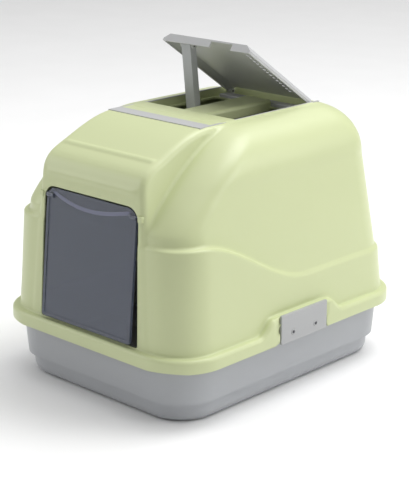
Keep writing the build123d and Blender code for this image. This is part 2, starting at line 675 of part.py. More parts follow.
def prop_strut():
    """A channel-shaped strut with round ends, from its foot up to its pivot."""
    (head_y, head_z), (foot_y, foot_z) = prop_points()
    rise = Vector(0, head_y - foot_y, head_z - foot_z)
    plane = Plane(origin=(PROP_X, foot_y, foot_z), x_dir=rise, z_dir=(1, 0, 0))
    length = rise.length
    outline = plane * Pos(length / 2, 0) * SlotCenterToCenter(length, PROP_DEPTH)
    strut = extrude(outline, PROP_WIDTH / 2, both=True)
    trough = plane * Pos(length / 2, -PROP_WALL) * Rectangle(length - 2 * PROP_DEPTH, PROP_DEPTH)
    strut -= extrude(trough, PROP_WIDTH / 2 - PROP_WALL, both=True)
    spine = plane * Pos(length / 2, 0) * Rectangle(length - PROP_DEPTH, PROP_DEPTH - PROP_WALL)
    strut += extrude(spine, PROP_WALL / 2, both=True)
    return strut - cylinder_x(PROP_PIN_R + RUNNING, PROP_X - PROP_WIDTH, PROP_X + PROP_WIDTH, head_y, head_z)


def prop_pin():
    (head_y, head_z), _ = prop_points()
    reach = PROP_WIDTH / 2 + SIDE_PLAY + PROP_EAR
    return cylinder_x(PROP_PIN_R, PROP_X - reach, PROP_X + reach, head_y, head_z)


# Door flap

def flap():
    """A clear flap with a raised rim and two lugs that turn on its pins."""
    y, z = flap_axis()
    half = DOOR_HALF - FLAP_SIDE_GAP
    low = DOOR_SILL_Z + FLAP_END_GAP
    top = DOOR_TOP_Z - FLAP_END_GAP
    outline = door_outline(half, half, low, top, DOOR_CORNER - FLAP_END_GAP, WALL)
    inner_corner = DOOR_CORNER - FLAP_END_GAP - FLAP_RIM
    inner_half = half - FLAP_RIM
    inner_top = top - FLAP_RIM
    window = door_outline(inner_half, inner_half, low + FLAP_RIM, inner_top, inner_corner, MITRE)
    full = FLAP_THICKNESS / 2 + FLAP_RIM_PROUD
    plate = extrude(Plane.XZ * outline, FLAP_THICKNESS / 2, both=True)
    plate += extrude(Plane.XZ * (outline - window), full, both=True)
    plate = Pos(0, y, 0) * plate
    for side in (-1, 1):
        lug = cylinder_x(FLAP_LUG_R, half - FLAP_LUG_LENGTH, half, y, z)
        bore = cylinder_x(FLAP_PIN_R + RUNNING, half - FLAP_LUG_LENGTH + MITRE, half + MITRE, y, z)
        plate += lug if side > 0 else mirror(lug, Plane.YZ)
        plate -= bore if side > 0 else mirror(bore, Plane.YZ)
    return plate.rotate(Axis((0, y, z), (-1, 0, 0)), SKIRT_DRAFT + FLAP_SWING)


def flap_pin(side):
    y, z = flap_axis()
    x0 = DOOR_HALF - FLAP_SIDE_GAP - FLAP_LUG_LENGTH + 2 * MITRE
    pin = cylinder_x(FLAP_PIN_R, x0, DOOR_HALF + MITRE + FLAP_BOSS - WALL / 2, y, z)
    return pin if side > 0 else mirror(pin, Plane.YZ)


# Side clips

def knuckle_spans():
    """Y spans of a clip's two barrels, just outside the tray's ears."""
    front, rear = lug_places()
    inner = CLIP_KNUCKLE_LENGTH / 2 + SIDE_PLAY
    outer = inner + CLIP_KNUCKLE_LENGTH
    return [(front - outer, front - inner), (rear + inner, rear + outer)]


def clip(side):
    """The plate that closes over the hood's hump, with its hinge barrels and stud holes."""
    half = CLIP_LENGTH / 2
    low = (CLIP_BACK_X, CLIP_CENTRE_Y - half, CLIP_BOTTOM_Z)
    high = (CLIP_FACE_X, CLIP_CENTRE_Y + half, CLIP_BOTTOM_Z + CLIP_HEIGHT)
    plate = box_between(low, high)
    plate = fillet(plate.edges().filter_by(Axis.X), CLIP_CORNER_R)
    plate = fillet(plate.faces().sort_by(Axis.X)[-1].edges(), CLIP_EDGE_R)
    for y0, y1 in knuckle_spans():
        plate += box_between((CLIP_HINGE_X, y0, CLIP_HINGE_Z - CLIP_KNUCKLE_R),
                             (CLIP_BACK_X + MITRE, y1, CLIP_HINGE_Z + CLIP_KNUCKLE_R))
        plate += cylinder_y(CLIP_KNUCKLE_R, y0, y1, CLIP_HINGE_X, CLIP_HINGE_Z)
        plate -= cylinder_y(CLIP_PIN_R + RUNNING, y0 - MITRE, y1 + MITRE, CLIP_HINGE_X, CLIP_HINGE_Z)
    for y in stud_places():
        plate -= cylinder_x(STUD_R / 2, CLIP_BACK_X - MITRE, CLIP_FACE_X + MITRE, y, STUD_Z)
    return plate if side > 0 else mirror(plate, Plane.YZ)


def stud_places():
    return [CLIP_CENTRE_Y - STUD_PITCH / 2, CLIP_CENTRE_Y + STUD_PITCH / 2]


def clip_studs(side):
    """The two studs of one clip."""
    studs = []
    for y in stud_places():
        stud = cylinder_x(STUD_R / 2, CLIP_BACK_X, CLIP_FACE_X, y, STUD_Z)
        head = cylinder_x(STUD_R, CLIP_FACE_X, CLIP_FACE_X + STUD_PROUD, y, STUD_Z)
        studs.append(stud + fillet(head.edges().group_by(Axis.X)[-1], STUD_PROUD / 2))
    group = Compound(children=studs)
    return group if side > 0 else mirror(group, Plane.YZ)


def clip_pin(side, index):
    """A pin through one tray ear and the barrel beside it."""
    y0, y1 = knuckle_spans()[index]
    ear_y = lug_places()[index]
    half = CLIP_KNUCKLE_LENGTH / 2
    pin = cylinder_y(CLIP_PIN_R, min(y0, ear_y - half), max(y1, ear_y + half), CLIP_HINGE_X, CLIP_HINGE_Z)
    return pin if side > 0 else mirror(pin, Plane.YZ)


def nodes():
    """Every piece of the box by name."""
    pieces = {"tray": tray(), "hood": hood(), "handle_well": handle_well(),
              "lid_frame": trim_skin(), "hinge_sill": hinge_sill()}
    pieces["lid"] = lid()
    pieces["prop_strut"] = prop_strut()
    pieces["prop_pin"] = prop_pin()
    pieces["door_flap"] = flap()
    for name, side in (("left", -1), ("right", 1)):
        pieces["lid_hinge_pin_" + name] = lid_hinge_pin(side)
        pieces["flap_pin_" + name] = flap_pin(side)
        pieces["clip_" + name] = clip(side)
        pieces["clip_studs_" + name] = clip_studs(side)
        pieces["clip_pin_front_" + name] = clip_pin(side, 0)
        pieces["clip_pin_rear_" + name] = clip_pin(side, 1)
    return pieces


if __name__ == "__main__":
    os.makedirs("parts", exist_ok=True)
    for name, shape in nodes().items():
        export_step(shape, f"parts/{name}.step")
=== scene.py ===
import json
import math

import bpy
import numpy as np
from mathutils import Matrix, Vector


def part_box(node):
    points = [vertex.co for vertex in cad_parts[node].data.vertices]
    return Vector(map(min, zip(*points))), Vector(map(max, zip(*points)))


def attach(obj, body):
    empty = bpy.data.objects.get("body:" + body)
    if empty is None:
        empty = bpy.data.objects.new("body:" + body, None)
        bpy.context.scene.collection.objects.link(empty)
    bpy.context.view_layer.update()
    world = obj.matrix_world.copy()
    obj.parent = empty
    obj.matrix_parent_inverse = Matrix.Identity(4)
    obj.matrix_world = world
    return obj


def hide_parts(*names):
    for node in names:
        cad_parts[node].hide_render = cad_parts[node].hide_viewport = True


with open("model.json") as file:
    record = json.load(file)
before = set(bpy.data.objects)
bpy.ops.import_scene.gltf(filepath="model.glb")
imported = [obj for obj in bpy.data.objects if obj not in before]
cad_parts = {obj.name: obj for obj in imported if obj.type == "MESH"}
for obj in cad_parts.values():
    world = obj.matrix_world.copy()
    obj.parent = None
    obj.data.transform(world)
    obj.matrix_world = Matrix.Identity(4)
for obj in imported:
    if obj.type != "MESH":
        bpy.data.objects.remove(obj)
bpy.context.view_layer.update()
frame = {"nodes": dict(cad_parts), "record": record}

MM = 0.001

# Main lines of the hood, in millimetres, as in the CAD part
HOOD_LOW, HOOD_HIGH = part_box("hood")
WELL_LOW, WELL_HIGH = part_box("handle_well")
FLANGE_X = HOOD_HIGH.x / MM
FLANGE_Y = HOOD_HIGH.y / MM
CREST_Z = HOOD_HIGH.z / MM
BAND_PROUD = 1.5
CROWN_Z = CREST_Z - BAND_PROUD
FLANGE_TOP = 104.0
FLANGE_CORNER = 73.0
FLANGE_EDGE = 6.0
CLIP_Y = 2.0
HUMP_RISE, HUMP_REACH, HUMP_RUN = 21.0, 93.0, 32.0
HUMP_SLOPE, HUMP_SPREAD = 0.95, 11.0
FLANGE_WIDTH = 12.5
SKIRT_X = FLANGE_X - FLANGE_WIDTH
SKIRT_Y = FLANGE_Y - FLANGE_WIDTH
SKIRT_CORNER = 60.0
SKIRT_LEAN = 2.75
SKIRT_SLOPE = math.tan(math.radians(SKIRT_LEAN))
LEDGE_HIGH, LEDGE_LOW = 252.0, 170.0
LEDGE_START, LEDGE_RUN = -188.0, 215.0
LEDGE_EDGE = 4.5
LEDGE_WIDTH = 7.5
DOME_SLOPE = math.tan(math.radians(6.7))
DOME_CORNER = 57.0
SHOULDER_Z = CROWN_Z - 73.0
SHOULDER_REACH = 64.0
SLOPE_Z = CROWN_Z - 125.0
SLOPE_END = -60.0
SLOPE_POWER = 1.25
BAND_HALF = 99.0
BAND_SLOPE = math.tan(math.radians(5.0))
BAND_EDGE = 9.0
DOME_FILLET, BAND_FILLET, FLANGE_FILLET = 5.0, 4.0, 3.0
WALL = 3.0
RIM = 0.8

# Openings: the notch in the flange's hump over a clip, the gap behind the clip, and the doorway
NOTCH_X, NOTCH_HALF, NOTCH_TOP = 196.5, 52.5, 126.0
GAP_TOP, GAP_CORNER = 101.0, 1.0
DOOR_HALF, DOOR_LOW, DOOR_TOP = 96.0, 106.0, 302.0
DOOR_CORNER, DOOR_FOOT_CORNER = 20.0, 3.0
DOOR_FLARE = 5.0 / 196.0
FRONT_Y, SIDE_X = -200.0, 185.0

# The raised band's profile, y and z, from the flange up and back over the crown
BAND_Y = (-238.9, -237.5, -227.1, -225.9, -222.9, -218.1, -211.7, -204.5, -196.9, -189.2, -181.5,
          -173.9, -166.2, -158.5, -150.7, -142.9, -134.9, -126.8, -118.6, -110.2, -101.9, -93.4,
          -85.0, 220.0)
BAND_Z = (74.0, 104.0, 321.0, 329.4, 337.2, 344.1, 349.7, 354.1, 357.8, 361.3, 364.8, 368.4,
          372.0, 375.4, 378.7, 381.8, 384.6, 387.0, 389.0, 390.5, 391.6, 392.3, 392.5, 392.5)
BAND_REAR = 150.0

CENTRE = np.array([0.0, (WELL_LOW.y + WELL_HIGH.y) / 2 / MM, 0.0])
WELL_HALF_X = WELL_HIGH.x / MM + RIM
WELL_HALF_Y = (WELL_HIGH.y - WELL_LOW.y) / 2 / MM + RIM

# How the hood's skin is sampled
COLUMNS = 376
ROWS = 118
SAMPLES = 520
TURN_SAMPLES = 1441
BEND_CLIMBS = (25.0, 38.0, 48.0, 58.0)
BEND_WEIGHT, DOOR_WEIGHT = 1.5, 1.2
DOOR_ANGLE, DOOR_ANGLE_FADE = 0.75, 0.3
ROW_LENGTH, ROW_BEND, ROW_BLUR = 7.0, 9.0, 11
COARSE_STEPS, EDGE_STEPS, SNAP_STEPS, FINE_STEPS = 18, 20, 22, 30
SKIN_REACH = (60.0, 620.0)
WELL_EDGE_Z = (340.0, 410.0)
FOOT_REACH = (100.0, 340.0)
SNAP_REACH = (150.0, 262.0)
TINY = 1e-9


def rounded_rectangle(x, y, half_x, half_y, corner):
    """Signed distance to a rounded rectangle in plan."""
    qx = np.abs(x) - half_x + corner
    qy = np.abs(y) - half_y + corner
    outside = np.hypot(np.maximum(qx, 0.0), np.maximum(qy, 0.0))
    return outside + np.minimum(np.maximum(qx, qy), 0.0) - corner


def round_and(a, b, r):
    """Both shapes at once, with a rounded edge."""
    return np.minimum(-r, np.maximum(a, b)) + np.hypot(np.maximum(a + r, 0), np.maximum(b + r, 0))


def round_or(a, b, r):
    """Either shape, with a filleted inner crease."""
    return np.maximum(r, np.minimum(a, b)) - np.hypot(np.maximum(r - a, 0), np.maximum(r - b, 0))


def smooth_step(t):
    t = np.clip(t, 0.0, 1.0)
    return t * t * (3 - 2 * t)


def ledge_z(y):
    return LEDGE_HIGH - (LEDGE_HIGH - LEDGE_LOW) * smooth_step((y - LEDGE_START) / LEDGE_RUN)


def skirt(x, y, z):
    pull = (z - FLANGE_TOP) * SKIRT_SLOPE
    side = rounded_rectangle(x, y, SKIRT_X - pull, SKIRT_Y - pull, SKIRT_CORNER)
    top = z - ledge_z(y)
    t = np.clip((y - LEDGE_START) / LEDGE_RUN, 0, 1)
    slope = (LEDGE_HIGH - LEDGE_LOW) / LEDGE_RUN * 6 * t * (1 - t)
    return round_and(side, top / np.sqrt(1 + slope * slope), LEDGE_EDGE)


def dome_plan(x, y, z):
    """Distance in plan to the dome's outline at height z."""
    lean = (np.minimum(z, SHOULDER_Z) - LEDGE_LOW) * DOME_SLOPE
    rise = np.clip((z - SHOULDER_Z) / (CROWN_Z - SHOULDER_Z), 0.0, 1.0)
    spread = np.sqrt(1 - rise * rise)
    pull = lean + (1 - spread) * SHOULDER_REACH
    half_x = SKIRT_X - LEDGE_WIDTH - pull
    rear = SKIRT_Y - LEDGE_WIDTH - pull
    upright = -SKIRT_Y + LEDGE_WIDTH + (np.minimum(z, SLOPE_Z) - LEDGE_LOW) * SKIRT_SLOPE
    back = np.clip((z - SLOPE_Z) / (CROWN_Z - SLOPE_Z), 0.0, 1.0)
    foot = -SKIRT_Y + LEDGE_WIDTH + (SLOPE_Z - LEDGE_LOW) * SKIRT_SLOPE
    sloped = SLOPE_END - (SLOPE_END - foot) * (1 - back ** SLOPE_POWER) ** (1 / SLOPE_POWER)
    front = np.where(z < SLOPE_Z, upright, sloped)
    corner = DOME_CORNER - (1 - spread) * DOME_CORNER / 2
    return rounded_rectangle(x, y - (rear + front) / 2, half_x, (rear - front) / 2, corner)


def dome(x, y, z):
    step = 0.5
    here = dome_plan(x, y, z)
    climb = (dome_plan(x, y, z + step) - dome_plan(x, y, z - step)) / (2 * step)
    return np.maximum(here / np.sqrt(1 + climb * climb), z - CROWN_Z)


BAND_ALONG = (np.array(BAND_Z) + np.array(BAND_Y)) / math.sqrt(2)
BAND_ACROSS = (np.array(BAND_Z) - np.array(BAND_Y)) / math.sqrt(2)
FINE_ALONG = np.linspace(BAND_ALONG[0], BAND_ALONG[-1], 1200)
KERNEL = np.hanning(15) / np.hanning(15).sum()
FINE_ACROSS = np.interp(FINE_ALONG, BAND_ALONG, BAND_ACROSS)
FINE_ACROSS = np.convolve(np.pad(FINE_ACROSS, 7, mode="edge"), KERNEL, mode="valid")
FINE_SLOPE = np.gradient(FINE_ACROSS, FINE_ALONG)
RIBS = ((-227.0, 323.2), (-192.0, 360.0))
RIB_HEIGHT, RIB_REACH = 2.2, 7.0
RIB_END, RIB_FADE = 4, 9


def band(x, y, z):
    along = (z + y) / math.sqrt(2)
    across = (z - y) / math.sqrt(2)
    level = np.interp(along, FINE_ALONG, FINE_ACROSS)
    slope = np.interp(along, FINE_ALONG, FINE_SLOPE)
    shell = (across - level) / np.sqrt(1 + slope * slope)
    fade = smooth_step((BAND_HALF - RIB_END - np.abs(x)) / RIB_FADE)
    for rib_y, rib_z in RIBS:
        reach = np.hypot(y - rib_y, z - rib_z)
        shell = shell - RIB_HEIGHT * fade * smooth_step(1 - reach / RIB_REACH)
    half = BAND_HALF + (CREST_Z - z) * BAND_SLOPE
    body = round_and(shell, (np.abs(x) - half) / math.sqrt(1 + BAND_SLOPE ** 2), BAND_EDGE)
    return np.maximum(body, y - BAND_REAR)


def flange_top(y):
    """The flange's top rises into a hump beside and behind each clip."""
    return FLANGE_TOP + HUMP_RISE * smooth_step((HUMP_REACH - np.abs(y - CLIP_Y)) / HUMP_RUN)


def hood_field(p, notched=True):
    """Signed distance, roughly, to the hood's outer skin; p is in millimetres."""
    x, y, z = p[..., 0], p[..., 1], p[..., 2]
    away = np.abs(y - CLIP_Y)
    slope = HUMP_SLOPE * np.exp(-((away - HUMP_REACH + HUMP_RUN / 2) / HUMP_SPREAD) ** 2)
    flange = round_and(rounded_rectangle(x, y, FLANGE_X, FLANGE_Y, FLANGE_CORNER),
                       (z - flange_top(y)) / np.sqrt(1 + slope * slope), FLANGE_EDGE)
    body = round_or(skirt(x, y, z), dome(x, y, z), DOME_FILLET)
    body = round_or(body, band(x, y, z), BAND_FILLET)
    body = round_or(body, flange, FLANGE_FILLET)
    if not notched:
        return body
    notch = np.minimum(np.abs(x) - NOTCH_X, np.minimum(NOTCH_HALF - away, NOTCH_TOP - z))
    return np.maximum(body, notch)


def search(place, shape, reach, steps, notched=True):
    """Halves the reach between inside and outside the skin; gives both ends and the last try."""
    low, high = np.full(shape, reach[0]), np.full(shape, reach[1])
    for _ in range(steps):
        middle = (low + high) / 2
        inside = hood_field(place(middle), notched) < 0
        low = np.where(inside, middle, low)
        high = np.where(inside, high, middle)
    return low, high, middle


def surface(directions, steps, notched=True):
    """Where rays from the centre leave the skin."""
    def along(reach):
        return CENTRE + directions * reach[..., None]

    low, high, _ = search(along, directions.shape[:-1], SKIN_REACH, steps, notched)
    return along((low + high) / 2)


def normals(p):
    """Outward direction of the field at each point."""
    step = 0.3
    out = np.zeros_like(p)
    for axis in range(3):
        shift = np.zeros(3)
        shift[axis] = step
        out[..., axis] = hood_field(p + shift) - hood_field(p - shift)
    return out / np.maximum(np.linalg.norm(out, axis=-1, keepdims=True), TINY)


def ray(turn, climb):
    """Unit vectors; turn is from the front towards +X, climb is above the horizon."""
    level = np.cos(climb)
    return np.stack([np.sin(turn) * level, -np.cos(turn) * level, np.sin(climb)], axis=-1)


def spread_columns(count):
    """Angles round the hood, closer together where the outline turns and across the door."""
    turn = np.linspace(-math.pi, math.pi, TURN_SAMPLES)
    tight = np.zeros_like(turn)
    for climb in np.radians(BEND_CLIMBS):
        points = surface(ray(turn, np.full_like(turn, climb)), COARSE_STEPS, False)
        tangent = np.gradient(points, axis=0)
        tangent /= np.linalg.norm(tangent, axis=-1, keepdims=True)
        tight += np.linalg.norm(np.gradient(tangent, axis=0), axis=-1)
    tight = np.convolve(np.pad(tight, 12, mode="wrap"), np.hanning(25) / 12, mode="valid")
    at_door = smooth_step((DOOR_ANGLE - np.abs(turn)) / DOOR_ANGLE_FADE)
    weight = 1.0 + BEND_WEIGHT * tight / tight.mean() + DOOR_WEIGHT * at_door
    total = np.concatenate([[0.0], np.cumsum((weight[1:] + weight[:-1]) / 2)])
    angles = np.interp(np.arange(count) * total[-1] / count, total, turn)
    corner = math.atan2(WELL_HALF_X, WELL_HALF_Y)
    for target in (corner, -corner, math.pi - corner, corner - math.pi):
        angles[np.argmin(np.abs(angles - target))] = target
    return angles


def beside_centre(turn, reach, z):
    """Points by angle and level distance from the centre, at height z."""
    return np.stack([reach * np.sin(turn), CENTRE[1] - reach * np.cos(turn), z], axis=-1)


def well_edge(turn):
    """Points on the hood's crown along the well's outline."""
    reach = np.minimum(WELL_HALF_X / np.maximum(np.abs(np.sin(turn)), 1e-6),
                       WELL_HALF_Y / np.maximum(np.abs(np.cos(turn)), 1e-6))
    _, _, top = search(lambda z: beside_centre(turn, reach, z), turn.shape, WELL_EDGE_Z, EDGE_STEPS)
    return beside_centre(turn, reach, top)


def smooth_rows(a, width):
    """Averages along the first two directions of a table of weights."""
    kernel = np.hanning(width + 2)[1:-1]
    kernel /= kernel.sum()
    pad = width // 2

    def blur(line, mode):
        return np.convolve(np.pad(line, pad, mode=mode), kernel, "valid")

    a = np.apply_along_axis(blur, 0, a, "wrap")
    return np.apply_along_axis(blur, 1, a, "edge")


def hood_grid():
    """Points on the skin, column by column, from the flange's foot up to the well."""
    turn = spread_columns(COLUMNS)
    foot = HOOD_LOW.z / MM + RIM
    level = np.full_like(turn, foot)
    reach, _, _ = search(lambda out: beside_centre(turn, out, level), turn.shape,
                         FOOT_REACH, EDGE_STEPS)
    first = np.arctan2(foot, reach)
    edge = well_edge(turn)
    last = np.arctan2(edge[:, 2], np.hypot(edge[:, 0], edge[:, 1] - CENTRE[1]))
    share = np.linspace(0, 1, SAMPLES)
    climb = first[:, None] + (last - first)[:, None] * share
    fine = surface(ray(turn[:, None], climb), COARSE_STEPS, False)
    move = np.diff(fine, axis=1)
    length = np.linalg.norm(move, axis=-1)
    tangent = move / np.maximum(length, 1e-6)[..., None]
    bend = np.zeros_like(length)
    cosine = (tangent[:, 1:] * tangent[:, :-1]).sum(-1)
    bend[:, 1:] = np.degrees(np.arccos(np.clip(cosine, -1, 1)))
    weight = smooth_rows(length / ROW_LENGTH + bend / ROW_BEND, ROW_BLUR)
    total = np.concatenate([np.zeros((COLUMNS, 1)), np.cumsum(weight, axis=1)], axis=1)
    rows = np.stack([np.interp(np.linspace(0, t[-1], ROWS), t, c) for t, c in zip(total, climb)])
    points = surface(ray(turn[:, None], rows), FINE_STEPS)
    points[:, -1] = edge
    return points


def door_distance(x, z):
    """Signed distance to the doorway's outline, seen from the front."""
    side = np.abs(x) - DOOR_HALF - (DOOR_TOP - z) * DOOR_FLARE
    side = side / math.sqrt(1 + DOOR_FLARE * DOOR_FLARE)
    arch = round_and(side, z - DOOR_TOP, DOOR_CORNER)
    return round_and(arch, DOOR_LOW - z, DOOR_FOOT_CORNER)


def clip_distance(y, z):
    """Signed distance to the open stretch of flange behind a clip."""
    return round_and(np.abs(y - CLIP_Y) - NOTCH_HALF, z - GAP_TOP, GAP_CORNER)


def snap(p, distance, a, b, solve):
    """Moves points onto an outline's rim across axes a and b, then onto the skin along solve."""
    step = 0.2
    for _ in range(4):
        here = distance(p[:, a], p[:, b])
        da = (distance(p[:, a] + step, p[:, b]) - distance(p[:, a] - step, p[:, b])) / (2 * step)
        db = (distance(p[:, a], p[:, b] + step) - distance(p[:, a], p[:, b] - step)) / (2 * step)
        size = np.maximum(da * da + db * db, 1e-6)
        p[:, a] -= (here - RIM) * da / size
        p[:, b] -= (here - RIM) * db / size
    sign = np.sign(p[:, solve])

    def at(depth):
        moved = p.copy()
        moved[:, solve] = sign * depth
        return moved

    _, _, depth = search(at, len(p), SNAP_REACH, SNAP_STEPS)
    return at(depth)


def boundary_edges(faces):
    """Directed edges that belong to one face only."""
    seen = set()
    for f in faces:
        for i in range(4):
            seen.add((f[i], f[(i + 1) % 4]))
    return [e for e in seen if (e[1], e[0]) not in seen]


def hood_shell():
    """The moulded shell: skin, lining and rounded rims, as vertices and faces."""
    grid = hood_grid()
    points = grid.reshape(-1, 3)
    c, r = np.meshgrid(np.arange(COLUMNS), np.arange(ROWS - 1), indexing="ij")
    a = c * ROWS + r
    b = (c + 1) % COLUMNS * ROWS + r
    faces = np.stack([a, b, b + 1, a + 1], axis=-1).reshape(-1, 4)
    middle = points[faces].mean(axis=1)
    door = (middle[:, 1] < FRONT_Y) & (door_distance(middle[:, 0], middle[:, 2]) < RIM)
    gap = (np.abs(middle[:, 0]) > SIDE_X) & (clip_distance(middle[:, 1], middle[:, 2]) < RIM)
    faces = faces[~(door | gap)]
    edges = boundary_edges(faces.tolist())
    rim = np.array(sorted({v for e in edges for v in e}))
    row = rim % ROWS
    inner = (row > 0) & (row < ROWS - 1)
    at_door = rim[inner & (points[rim][:, 1] < FRONT_Y)]
    points[at_door] = snap(points[at_door], door_distance, 0, 2, 1)
    at_gap = rim[inner & (np.abs(points[rim][:, 0]) > SIDE_X)]
    points[at_gap] = snap(points[at_gap], clip_distance, 1, 2, 0)
    used = np.unique(faces)
    remap = np.full(len(points), -1)
    remap[used] = np.arange(len(used))
    points, faces = points[used], remap[faces]
    edges = [(remap[e[0]], remap[e[1]]) for e in edges]
    normal = normals(points)
    away = np.zeros_like(points)
    for i, j in edges:
        out = np.cross(points[j] - points[i], normal[i] + normal[j])
        out /= max(np.linalg.norm(out), TINY)
        away[i] += out
        away[j] += out
    ring = sorted({v for e in edges for v in e})
    count = len(points)
    place = {v: k for k, v in enumerate(ring)}
    base, n = points[ring], normal[ring]
    t = away[ring] - (away[ring] * n).sum(-1, keepdims=True) * n
    t /= np.maximum(np.linalg.norm(t, axis=-1, keepdims=True), TINY)
    rings = []
    for turn, lining in ((30, 0), (60, 0), (90, 0), (90, 1), (60, 1), (30, 1)):
        s, d = RIM * math.sin(math.radians(turn)), RIM * (1 - math.cos(math.radians(turn)))
        rings.append(base + s * t - (WALL - d if lining else d) * n)
    verts = np.concatenate([points, points - WALL * normal] + rings)
    shell = faces.tolist() + (faces[:, ::-1] + count).tolist()
    starts = [2 * count + k * len(ring) for k in range(len(rings))]
    for i, j in edges:
        chain_i = [i] + [s + place[i] for s in starts] + [i + count]
        chain_j = [j] + [s + place[j] for s in starts] + [j + count]
        for k in range(len(chain_i) - 1):
            shell.append([chain_j[k], chain_i[k], chain_i[k + 1], chain_j[k + 1]])
    return verts * MM, shell


def mesh_piece(name, verts, faces, smooth_angle=40.0):
    mesh = bpy.data.meshes.new(name)
    mesh.from_pydata([tuple(v) for v in np.asarray(verts, float)], [], [list(f) for f in faces])
    mesh.validate()
    mesh.update()
    mesh.shade_smooth()
    mesh.set_sharp_from_angle(angle=math.radians(smooth_angle))
    piece = bpy.data.objects.new(name, mesh)
    bpy.context.scene.collection.objects.link(piece)
    return piece


def bar_along(path, width, height, sides=12):
    """A rounded raised bead along a path, as vertices and faces.

    Each point of the path carries its up and side directions.
    """
    verts, faces = [], []
    for point, up, side in path:
        for k in range(sides):
            turn = 2 * math.pi * k / sides
            verts.append(point + side * (math.cos(turn) * width / 2)
                         + up * (math.sin(turn) * height))
    for i in range(len(path) - 1):
        for k in range(sides):
            n = (k + 1) % sides
            low, high = i * sides, (i + 1) * sides
            faces.append([low + k, low + n, high + n, high + k])
    faces.append(list(reversed(range(sides))))
    faces.append([(len(path) - 1) * sides + k for k in range(sides)])
    return verts, faces


def rounded_block(low, high, radius, steps=4):
    """A block with every edge rounded, as vertices and faces."""
    low, high = np.array(low, float), np.array(high, float)
    middle, half = (low + high) / 2, (high - low) / 2 - radius
    ticks = [np.sin(np.linspace(-math.pi / 2, math.pi / 2, 2 * steps + 2)) for _ in range(3)]
    verts, faces, seen = [], [], {}
    for axis in range(3):
        u, v = (axis + 1) % 3, (axis + 2) % 3
        for sign in (-1, 1):
            count = len(ticks[0])
            index = np.empty((count, count), int)
            for i, a in enumerate(ticks[u]):
                for j, b in enumerate(ticks[v]):
                    p = np.zeros(3)
                    p[axis], p[u], p[v] = sign, a, b
                    core = np.sign(p) * half
                    spot = middle + core + radius * p / np.linalg.norm(p)
                    key = tuple(np.round(spot, 7))
                    if key not in seen:
                        seen[key] = len(verts)
                        verts.append(spot)
                    index[i, j] = seen[key]
            for i in range(count - 1):
                for j in range(count - 1):
                    quad = [index[i, j], index[i + 1, j], index[i + 1, j + 1], index[i, j + 1]]
                    faces.append(quad if sign > 0 else quad[::-1])
    return verts, faces


# Finishes: moulded plastics whose colour, gloss and surface vary a little from place to place
TINT_SCALE, TINT_DETAIL = 7.0, 4.0
GLOSS_SCALE, GLOSS_DETAIL = 5.0, 2.0
GRAIN_DETAIL = 3.0
BUMP_DEPTH = 0.0004
PLASTIC_IOR = 1.46


def plastic(name, colour, rough, grain, bump, **extra):
    """A moulded plastic; colour is linear RGB, rough its low and high roughness.

    A range across about 0.274 leaves visible contours in the render, so none straddles it.
    """
    finish = bpy.data.materials.new(name)
    finish.use_nodes = True
    nodes, links = finish.node_tree.nodes, finish.node_tree.links
    shader = nodes["Principled BSDF"]
    place = nodes.new("ShaderNodeTexCoord")

    def noise(scale, detail):
        n = nodes.new("ShaderNodeTexNoise")
        n.inputs["Scale"].default_value = scale
        n.inputs["Detail"].default_value = detail
        links.new(place.outputs["Object"], n.inputs["Vector"])
        return n.outputs["Fac"]

    tint = nodes.new("ShaderNodeValToRGB")
    tint.color_ramp.interpolation = "EASE"
    tint.color_ramp.elements[0].position = 0.15
    tint.color_ramp.elements[1].position = 0.85
    tint.color_ramp.elements[0].color = tuple(c * 0.99 for c in colour) + (1,)
    tint.color_ramp.elements[1].color = tuple(min(1, c * 1.01) for c in colour) + (1,)
    links.new(noise(TINT_SCALE, TINT_DETAIL), tint.inputs["Fac"])
    links.new(tint.outputs["Color"], shader.inputs["Base Color"])
    gloss = nodes.new("ShaderNodeMapRange")
    gloss.interpolation_type = "SMOOTHSTEP"
    gloss.inputs["From Min"].default_value = 0.1
    gloss.inputs["From Max"].default_value = 0.9
    gloss.inputs["To Min"].default_value = rough[0]
    gloss.inputs["To Max"].default_value = rough[1]
    links.new(noise(GLOSS_SCALE, GLOSS_DETAIL), gloss.inputs["Value"])
    links.new(gloss.outputs["Result"], shader.inputs["Roughness"])
    relief = nodes.new("ShaderNodeBump")
    relief.inputs["Strength"].default_value = bump
    relief.inputs["Distance"].default_value = BUMP_DEPTH
    links.new(noise(grain, GRAIN_DETAIL), relief.inputs["Height"])
    links.new(relief.outputs["Normal"], shader.inputs["Normal"])
    shader.inputs["IOR"].default_value = PLASTIC_IOR
    for socket, value in extra.items():
        shader.inputs[socket.replace("_", " ")].default_value = value
    return finish


FINISHES = {
    "hood_green": plastic("sage_gloss", (0.56, 0.61, 0.35), (0.30, 0.36), 2500.0, 0.03),
    "tray_grey": plastic("tray_grey", (0.40, 0.412, 0.43), (0.34, 0.42), 2200.0, 0.03),
    "trim_grey": plastic("trim_grey", (0.46, 0.465, 0.47), (0.34, 0.42), 2200.0, 0.03),
    "strut_grey": plastic("strut_grey", (0.42, 0.43, 0.45), (0.30, 0.38), 2200.0, 0.03),
    "clip_grey": plastic("clip_grey", (0.40, 0.405, 0.41), (0.30, 0.38), 2200.0, 0.03),
    # pin_grey also colours the dark cores in the clip studs' sockets, where it is painted shade
    "pin_grey": plastic("pin_grey", (0.06, 0.06, 0.07), (0.35, 0.45), 2200.0, 0.03),
    "smoke_clear": plastic("smoke_clear", (0.24, 0.27, 0.35), (0.09, 0.13), 40.0, 0.004,
                           Transmission_Weight=0.72),
}
SMOKE_EDGE = plastic("smoke_edge", (0.17, 0.18, 0.25), (0.42, 0.5), 900.0, 0.02)
SLOT_OF = {part["node"]: part["material_slot"] for part in frame["record"]["subparts"]}


def dress(piece, slot, finish=None):
    piece.data.materials.clear()
    piece.data.materials.append(finish or FINISHES[slot])


